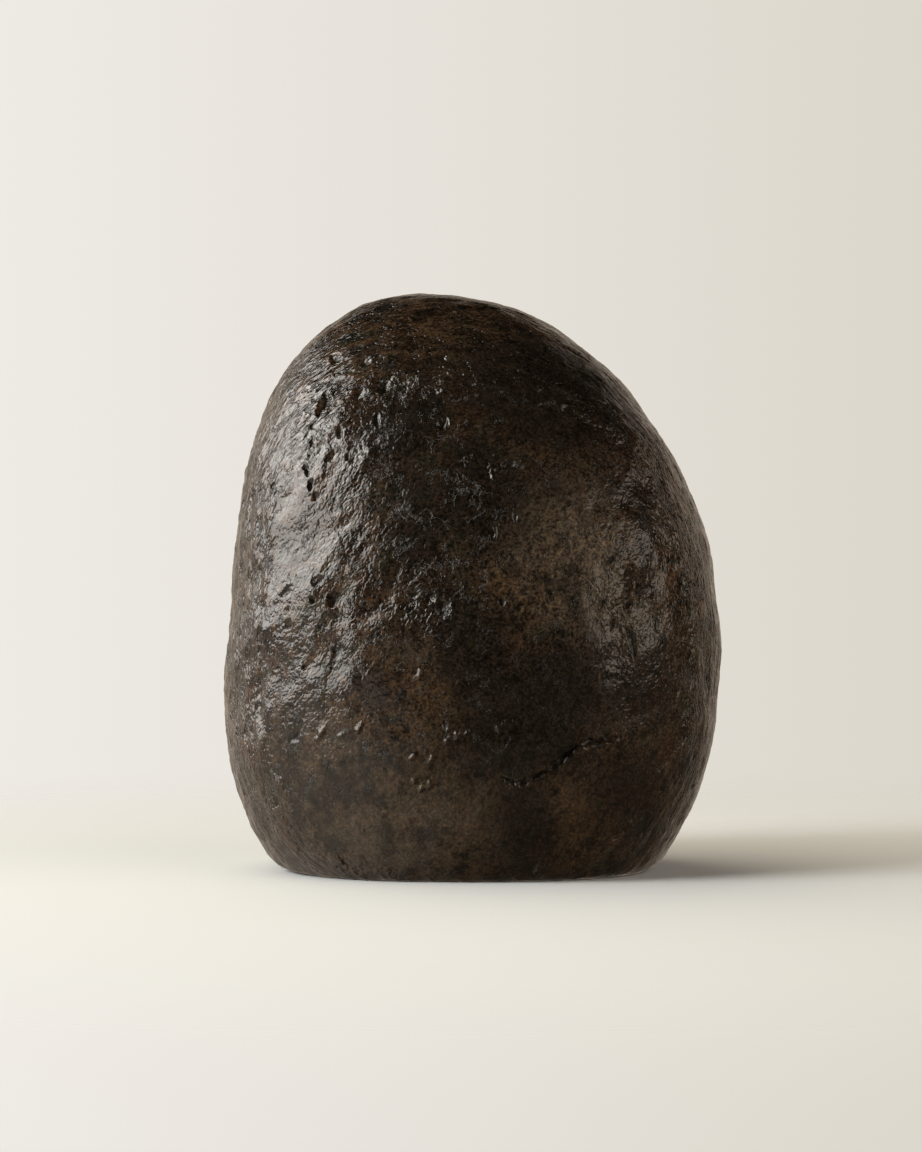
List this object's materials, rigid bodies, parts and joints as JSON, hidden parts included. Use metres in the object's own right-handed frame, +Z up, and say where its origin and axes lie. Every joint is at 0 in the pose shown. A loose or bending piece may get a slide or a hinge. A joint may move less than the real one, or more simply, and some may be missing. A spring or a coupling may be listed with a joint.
{
  "type": "pillow basalt",
  "caption": "Free-standing pillow lobe of dark basalt with a rounded crown, a wrinkled and pitted glassy skin, and a flat underside to stand on.",
  "frame": {"origin": "on the flat underside, below the middle of the stone", "axes": "+Z up from the flat underside to the crown, -Y towards the front, +X to the front's right"},
  "size_m": [0.2595, 0.2216, 0.3002],
  "materials": {
    "stone": "dark brown-black basalt, mottled rust brown and olive grey, with a waxed, half-glossy skin"
  },
  "bodies": {
    "root": {"pillow_lobe": "stone"}
  },
  "joints": []
}
